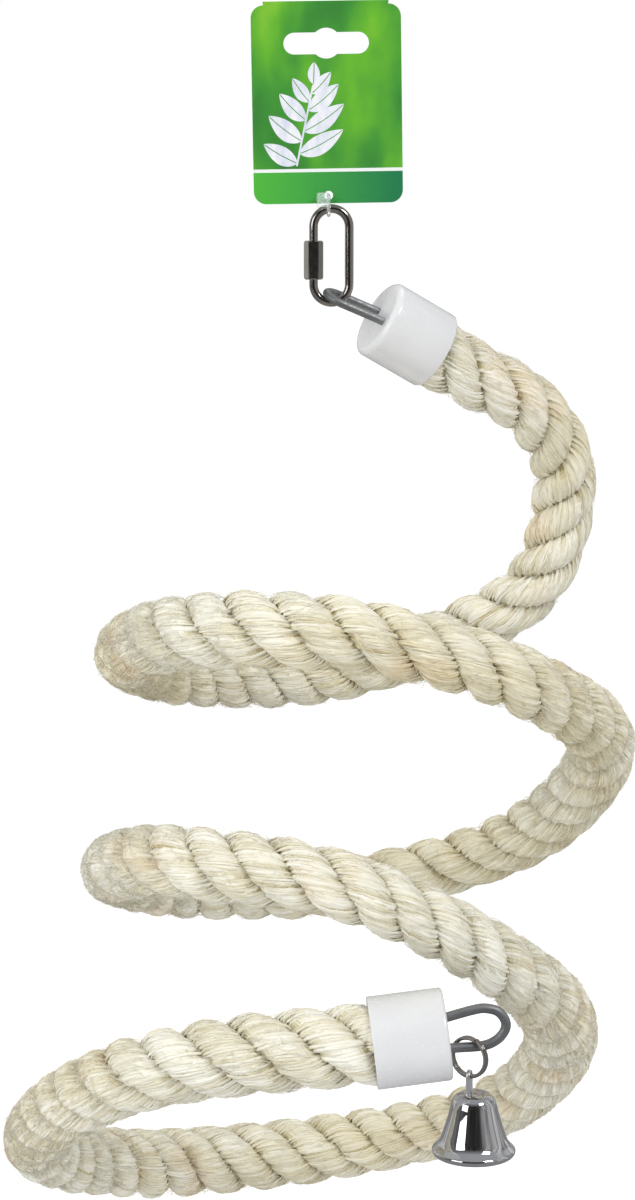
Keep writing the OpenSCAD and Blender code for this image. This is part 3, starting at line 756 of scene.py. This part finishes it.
paint_card(card_mat)
mottle = back_mat.noise(back_mat.place(), 800, 3.0)
board = back_mat.ramp(mottle, (0.3, (0.80, 0.80, 0.78)), (0.7, (0.86, 0.86, 0.85)))
back_mat.set(back_mat.p, {"Base Color": board})
half_t, FRONT_T = TAG_T / 2, 0.22
flat_plate("card_front", card, holes, -half_t, -half_t + FRONT_T, card_mat.m, "tag",
           hides=("tag_card",), slot="card")
flat_plate("card_board", card, holes, -half_t + FRONT_T, half_t, back_mat.m, "tag", slot="card")


def printed_leaf(x, z, lean, long, wide, bend):
    """The two halves of a leaf printed on the card, on either side of its rib."""
    u = np.linspace(0, 1, 19)
    lean = math.radians(lean)
    out = np.array([math.sin(lean), math.cos(lean)])
    side = np.array([out[1], -out[0]])
    rib = np.array([x, z]) + (u * long)[:, None] * out + (bend * u * u)[:, None] * side
    half = wide / 2 * np.sin(math.pi * u ** 0.85) ** 0.8
    gap = np.minimum(0.16, half)
    return [np.vstack([rib + (h * gap)[:, None] * side, (rib + (h * half)[:, None] * side)[::-1]])
            for h in (-1, 1)]


def print_on_card(name, outlines, mat):
    """Thin printed shapes on the card's front, as one piece."""
    points, faces = [], []
    for k, line in enumerate(outlines):
        line = [q for i, q in enumerate(line) if np.linalg.norm(q - line[i - 1]) > 0.02]
        line = [np.array(q) for q in card_turned(line)]
        area = sum(a[0] * b[1] - b[0] * a[1] for a, b in zip(line, line[1:] + line[:1]))
        line = line if area > 0 else line[::-1]
        n, at = len(line), len(points)
        proud = 0.02 + 0.006 * k
        points += [(x, -half_t - proud, z) for x, z in line] + [(x, -half_t + 0.01, z) for x, z in line]
        faces += [list(range(at, at + n)), list(range(at + n, at + 2 * n))[::-1]]
        faces += [[at + i, at + n + i, at + n + (i + 1) % n, at + (i + 1) % n] for i in range(n)]
    piece(name, points, [faces], mat, "tag", slot="card", smooth=False)


pale = Mat("leaf_print", Roughness=0.35, Coat_Weight=0.3)
veins = pale.noise(pale.place(), 260, 4.0, 0.6, (1, 1, 0.35))
leaf_tone = pale.ramp(veins, (0.30, (0.62, 0.66, 0.78)), (0.62, (0.86, 0.87, 0.90)))
pale.set(pale.p, {"Base Color": leaf_tone})
STEM, STEM_LEAN, STEM_HALF = 29.0, 0.22, 0.35
stem_x, stem_z = -12.5, TAG_LOW + BAND + 1.6
# Each leaf's height on the stem, lean, length, width and bend
LEAVES = ((1, -66, 14.0, 6.6, 1.5), (4.5, 72, 18.0, 7.0, -3.0), (9, -60, 15.0, 7.0, 2.0),
          (12.5, 66, 17.5, 7.0, -2.8), (16.5, -52, 13.5, 6.4, 1.7), (20, 60, 14.5, 6.4, -2.4),
          (23, -42, 10.5, 5.2, 1.2), (26, 52, 10.5, 5.0, -1.6), (STEM + 0.4, 6, 8.0, 4.4, -0.4))
leaves = []
for up, *leaf in LEAVES:
    leaves += printed_leaf(stem_x + STEM_LEAN * up, stem_z + up, *leaf)
stem_u = np.linspace(0, STEM, 15)
stem_line = np.stack([stem_x + STEM_LEAN * stem_u, stem_z + stem_u], 1)
leaves.append(np.vstack([stem_line - [STEM_HALF, 0], (stem_line + [STEM_HALF, 0])[::-1]]))
print_on_card("card_leaves", leaves, pale.m)


# The tie
def clear_plastic():
    """Clear plastic of the tie and its lock."""
    m = Mat("clear_plastic", Roughness=0.12, IOR=1.3, Transmission_Weight=0.8)
    n = m.noise(m.place(), 500, 2.0)
    m.set(m.p, {"Base Color": m.ramp(n, (0.3, (0.84, 0.87, 0.87)), (0.7, (0.93, 0.95, 0.95)))})
    m.bump(n, 0.1, 0.0001)
    return m.m


clear = clear_plastic()
tie_r, SEEN_TIE = TIE_W / 2, 1.3
low, high = -0.15 - SEEN_TIE / 2 + tie_r, TIE_Z - tie_r
over, under = np.linspace(0, math.pi, 24), np.linspace(math.pi, 2 * math.pi, 24)
loop = ([(TIE_X, tie_r * math.cos(w), high + tie_r * math.sin(w)) for w in over]
        + [(TIE_X, -tie_r, z) for z in np.linspace(high, low, 6)[1:-1]]
        + [(TIE_X, tie_r * math.cos(w), low + tie_r * math.sin(w)) for w in under]
        + [(TIE_X, tie_r, z) for z in np.linspace(low, high, 6)[1:-1]])
p, f = sweep(loop, SEEN_TIE / 2, 16, (1, 0, 0), closed=True)
piece("clear_tie", p, f, clear, "tie", ("tag_tie",), "clear_plastic")
LOCK_W, LOCK_H, LOCK_T, LOCK_UP = 4.4, 5.4, 1.6, 1.3
lock_line = (squarish(40, 0.35, LOCK_W / 2, LOCK_H / 2)
             + [TIE_X - LOCK_W / 2, high + LOCK_UP])
lock_mid = np.mean(lock_line, 0)
# The lock's outline shrinks by these parts at these depths, so that its edges are round
LOCK_STEPS = ((0.7, 0.0), (0.9, 0.0), (0.97, 0.08), (1, 0.3),
              (1, LOCK_T - 0.3), (0.97, LOCK_T - 0.08), (0.9, LOCK_T), (0.7, LOCK_T))
lock_rings = [np.insert(lock_mid + (lock_line - lock_mid) * k, 1, -tie_r - TIE_D / 2 + y, 1)
              for k, y in LOCK_STEPS]
piece("tie_lock", np.vstack(lock_rings), capped(len(lock_rings), len(lock_line)),
      clear, "tie", (), "clear_plastic", sharp=40)


# Split ring, as two turns of one flattened wire
RING_R = RING_D / 2
RING_DROP, WIRE_END = 0.5, 1.2
ring_out = RING_R * math.cos(math.radians(RING_TURN)) + RING_GAP
ring_leg = (bottom_end - ring_out * BOTTOM_AXIS
            + EYE_W / 2 * along(BOTTOM_BEARING, BOTTOM_DIP + 90))
ring_middle = ring_leg + [0, 0, WIRE_D / 2 + RING_SLACK - RING_DROP + RING_WIRE - RING_R]
at_ring = (Matrix.Translation(Vector(ring_middle))
           @ Matrix.Rotation(math.radians(RING_TURN), 4, "Z"))
turn = np.linspace(0, 4 * math.pi, 161)
crossing = np.clip((turn - 1.8 * math.pi) / (0.4 * math.pi), 0, 1)
drift = (crossing * crossing * (3 - 2 * crossing) - 0.5) * RING_COIL
radial = np.stack([np.cos(turn + WIRE_END), 0 * turn, np.sin(turn + WIRE_END)], 1)
sideways = np.array([0, 1, 0])
wire = (RING_R - RING_WIRE / 2) * radial + drift[:, None] * sideways
section = squarish(16, 0.6, RING_COIL * 0.49, RING_WIRE / 2)
ring = (wire[:, None] + section[:, 0][None, :, None] * sideways
        + section[:, 1][None, :, None] * radial[:, None])
piece("split_ring", moved(ring.reshape(-1, 3), at_ring), capped(*ring.shape[:2]),
      nickel, "ring", ("bell_ring",), "nickel", sharp=50)


# Bell
strip_bend = STRIP_GAP / 2
arch_top = ring_middle[2] - RING_R + RING_WIRE + HANGER_SLACK + STRIP_T
crown = np.array([ring_middle[0], ring_middle[1], arch_top - HANGER_UP])
# How far the strap turns on from the CAD's, and how far right of it the bell sits
STRAP_TURN, BELL_RIGHT, BELL_SLIM = 7, 1.7, 0.98
at_strap = (Matrix.Translation(Vector(crown + [0.1, 0, -0.1]))
            @ Matrix.Rotation(math.radians(BELL_TURN + STRAP_TURN), 4, "Z"))
at_bell = Matrix.Translation(Vector([BELL_RIGHT, 0, 0])) @ at_strap
# The bell's outside and inside, as (radius, height) from its crown
bell_outside = [
    (0.01, -0.8), (1.6, -0.75), (2.7, -0.45), (3.5, -0.1), (4.5, -0.15), (5.7, -0.6), (6.8, -1.5),
    (7.5, -2.6), (8.0, -4.0), (8.45, -5.8), (9.15, -8.4), (10.0, -11.2), (10.85, -13.8), (11.7, -16.2),
    (12.6, -17.8), (13.7, -18.9), (14.45, -19.6), (14.75, -20.25), (14.65, -20.95), (14.2, -21.6),
    (13.5, -22.0)]
bell_inside = [
    (12.9, -21.7), (12.6, -20.6), (12.1, -19.0), (11.5, -17.4), (10.8, -15.6), (10.0, -13.2),
    (9.2, -10.6), (8.3, -7.8), (7.5, -5.3), (6.9, -3.6), (6.0, -2.5), (4.4, -1.9), (2.4, -1.7),
    (0.01, -1.7)]
p, f = lathe(smooth_line(bell_outside + bell_inside, 5) * [BELL_SLIM, 1], 128, at_bell)
piece("bell_dome", p, f, chrome, "bell", ("bell_shell",), "bright_chrome", sharp=60)

arch = HANGER_UP - strip_bend - STRIP_T / 2
foot_half, foot_top = strip_bend + SHOULDER, -BELL_WALL - CAP_GAP - STRIP_T / 2
foot_low, nick = foot_top - FOOT_H + STRIP_T, 0.3
strip = ([(0, strip_bend * math.cos(w), arch + strip_bend * math.sin(w))
          for w in np.linspace(0, math.pi, 25)]
         + [(0, -strip_bend, z) for z in np.linspace(arch, foot_top, 10)[1:]]
         + [(0, -foot_half, foot_top - nick), (0, -foot_half, foot_low + nick),
            (0, -foot_half + nick, foot_low), (0, foot_half - nick, foot_low),
            (0, foot_half, foot_low + nick), (0, foot_half, foot_top - nick)]
         + [(0, strip_bend, z) for z in np.linspace(foot_top, arch, 10)[:-1]])
flat_wire = squarish(16, 0.4, STRIP_T / 2, STRIP_W * 0.42)
p, f = sweep(strip, 1.0, 16, (1, 0, 0), closed=True, shape=flat_wire)
piece("bell_strip", moved(p, at_strap), f, strip_chrome, "bell", ("bell_hanger",), "bright_chrome",
      sharp=50)

bar_top = -BELL_WALL - CAP_GAP - FOOT_H + STRIP_T
loop_r = (LOOP_BORE + CLAPPER_D) / 2
loop_z = bar_top + CLAPPER_SLACK - LOOP_BORE / 2
ball_z = BALL_UP - BELL_H
stem = [(0, 0, z) for z in np.linspace(ball_z, loop_z - loop_r - 0.2, 10)]
hook = [(loop_r * math.cos(w), 0, loop_z + loop_r * math.sin(w))
        for w in np.linspace(-math.pi / 2, 1.45 * math.pi, 48)[1:]]
p, f = sweep(moved(np.array(stem + hook), at_strap), CLAPPER_D / 2, 12, (0.1, 1, 0))
piece("clapper_hook", p, f, zinc, "clapper", ("clapper_wire",), "steel", sharp=60)
ball = [(max(BALL_D / 2 * math.sin(a), 0.01), ball_z - BALL_D / 2 * math.cos(a))
        for a in np.linspace(0, math.pi, 41)]
p, f = lathe(ball, 64, at_strap)
piece("clapper_bead", p, f, nickel, "clapper", ("clapper_ball",), "steel")


# Hidden CAD pieces keep their shapes and take plain finishes of their own
for name, mat in (("core_wire", zinc), ("top_resin", cap_mat), ("bottom_resin", cap_mat)):
    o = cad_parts[name]
    for i in range(len(o.material_slots)):
        o.material_slots[i].material = mat


# Camera at the photograph's place, floor, world and lamps
CAMERA_AT, CAMERA_TILT, SENSOR, LENS = (-0.0051, -0.9903, -0.0041), 82, 36.0, 80.2
SOFT_LEVEL, FLOOR_GLOW = 0.62, 0.62
scene = bpy.context.scene
cam_data = bpy.data.cameras.new("camera")
cam_data.sensor_width, cam_data.lens = SENSOR, LENS
cam_data.clip_start, cam_data.clip_end = 0.05, 60
camera = bpy.data.objects.new("camera", cam_data)
camera.location = CAMERA_AT
camera.rotation_euler = (math.radians(CAMERA_TILT), 0, 0)
bpy.context.collection.objects.link(camera)
scene.camera = camera
scene.view_settings.view_transform = "Standard"


def seen_or_reflected(t):
    """In a node tree, 1 for rays from the camera, a reflection or clear plastic."""
    path = t.nodes.new("ShaderNodeLightPath")
    total = path.outputs["Is Camera Ray"]
    for name in ("Is Glossy Ray", "Is Transmission Ray"):
        n = t.nodes.new("ShaderNodeMath")
        n.operation = "MAXIMUM"
        t.links.new(total, n.inputs[0])
        t.links.new(path.outputs[name], n.inputs[1])
        total = n.outputs[0]
    return total


world = bpy.data.worlds.new("studio")
scene.world = world
world.use_nodes = True
t = world.node_tree
soft = t.nodes["Background"]
soft.inputs["Color"].default_value = (0.97, 0.98, 1.0, 1)
soft.inputs["Strength"].default_value = SOFT_LEVEL
white = t.nodes.new("ShaderNodeBackground")
white.inputs["Color"].default_value = (1, 1, 1, 1)
white.inputs["Strength"].default_value = 1.0
pick = t.nodes.new("ShaderNodeMixShader")
t.links.new(seen_or_reflected(t), pick.inputs[0])
t.links.new(soft.outputs[0], pick.inputs[1])
t.links.new(white.outputs[0], pick.inputs[2])
t.links.new(pick.outputs[0], t.nodes["World Output"].inputs[0])

floor_mat = Mat("floor", Base_Color=(0.80, 0.80, 0.80), Roughness=0.9, Specular_IOR_Level=0.0)
amount = floor_mat.math("MULTIPLY", seen_or_reflected(floor_mat.t), FLOOR_GLOW)
glow = floor_mat.add("Emission", {"Strength": amount})
both = floor_mat.add("AddShader", {0: floor_mat.p.outputs[0], 1: glow.outputs[0]})
floor_mat.t.links.new(both.outputs[0], floor_mat.t.nodes["Material Output"].inputs[0])
FLOOR_Z, FAR = -0.60, 30.0
me = bpy.data.meshes.new("floor")
me.from_pydata([(-FAR, -FAR, FLOOR_Z), (FAR, -FAR, FLOOR_Z), (FAR, FAR, FLOOR_Z), (-FAR, FAR, FLOOR_Z)],
               [], [(0, 1, 2, 3)])
me.materials.append(floor_mat.m)
floor = bpy.data.objects.new("floor", me)
bpy.context.collection.objects.link(floor)


AIM = Vector((0, 0, -0.2))


def stand(o, azimuth, height, far):
    """Stands an object round the perch, facing it. Azimuth 0 is the camera's side and 90 the right."""
    a, e = math.radians(azimuth), math.radians(height)
    back = Vector((math.sin(a) * math.cos(e), -math.cos(a) * math.cos(e), math.sin(e)))
    o.location = AIM + back * far
    o.rotation_mode = "QUATERNION"
    o.rotation_quaternion = back.to_track_quat("Z", "Y")
    bpy.context.collection.objects.link(o)


def softbox(name, light, azimuth, height, far, wide, tall, shows=True):
    """A rectangular lamp that gives the perch about the light named, where 1 is a plain level."""
    data = bpy.data.lights.new(name, "AREA")
    data.shape, data.size, data.size_y = "RECTANGLE", wide, tall
    data.energy = light * math.pi * math.pi * far * far
    o = bpy.data.objects.new(name, data)
    o.visible_glossy = shows
    stand(o, azimuth, height, far)


def reflected_room():
    """A dim room that only shows in reflections: darkest in front, paler at the sides and above."""
    far, cols, rows, above_floor = 3.6, 72, 20, 0.01
    low = math.asin((FLOOR_Z - AIM.z + above_floor) / far)
    up = np.linspace(low, math.radians(89), rows)[:, None]
    a = (2 * math.pi * np.arange(cols) / cols)[None]
    p = far * np.stack([np.cos(up) * np.cos(a), np.cos(up) * np.sin(a), np.sin(up) + 0 * a], -1)
    wall_faces, ground_face, roof_face = capped(rows, cols)
    me = bpy.data.meshes.new("reflected_room")
    me.from_pydata(p.reshape(-1, 3).tolist(), [], wall_faces.tolist() + ground_face + roof_face)
    m = Mat("room")
    xyz = m.add("SeparateXYZ", {"Vector": m.place()}).outputs
    turn = m.math("ARCTAN2", xyz[0], m.math("MULTIPLY", xyz[1], -1.0))
    turn = m.math("ADD", m.math("MULTIPLY", turn, 0.5 / math.pi), 0.5)
    walls = m.ramp(turn, (0.0, 0.35), (0.08, 0.45), (0.14, 0.75), (0.20, 0.38), (0.26, 0.16),
                   (0.34, 0.10), (0.42, 0.05), (0.50, 0.025), (0.56, 0.06), (0.61, 0.34),
                   (0.70, 0.50), (0.76, 0.80), (0.82, 0.35), (0.88, 0.70), (0.94, 0.40), (1.0, 0.35))
    height = m.math("MULTIPLY", xyz[2], 1 / far)
    roof = m.ramp(height, (0.45, 0.0), (0.80, 1.0))
    things = m.noise(m.place(), 1.3, 3.0, 0.6, (1, 1, 0.35))
    walls = m.mix(1.0, walls, m.ramp(things, (0.35, 0.45), (0.65, 1.5)), "MULTIPLY")
    ground = m.math("LESS_THAN", xyz[2], FLOOR_Z - AIM.z + above_floor * 1.2)
    walls = m.mix(ground, walls, (0.30, 0.30, 0.31))
    glow = m.add("Emission", {"Color": m.mix(roof, walls, (0.42, 0.43, 0.45))})
    m.t.links.new(glow.outputs[0], m.t.nodes["Material Output"].inputs[0])
    me.materials.append(m.m)
    o = bpy.data.objects.new("reflected_room", me)
    o.location = AIM
    bpy.context.collection.objects.link(o)
    for ray in ("camera", "diffuse", "transmission", "shadow", "volume_scatter"):
        setattr(o, f"visible_{ray}", False)


# Each lamp's level, azimuth, height, distance, width and height of its face
softbox("key", 0.20, -48, 17, 2.4, 1.25, 1.0)
softbox("high_key", 0.20, -50, 33, 2.4, 1.5, 1.2, False)
softbox("fill", 0.30, 44, 40, 2.6, 0.9, 0.7)
softbox("top", 0.10, 170, 68, 2.4, 1.2, 1.2)
reflected_room()
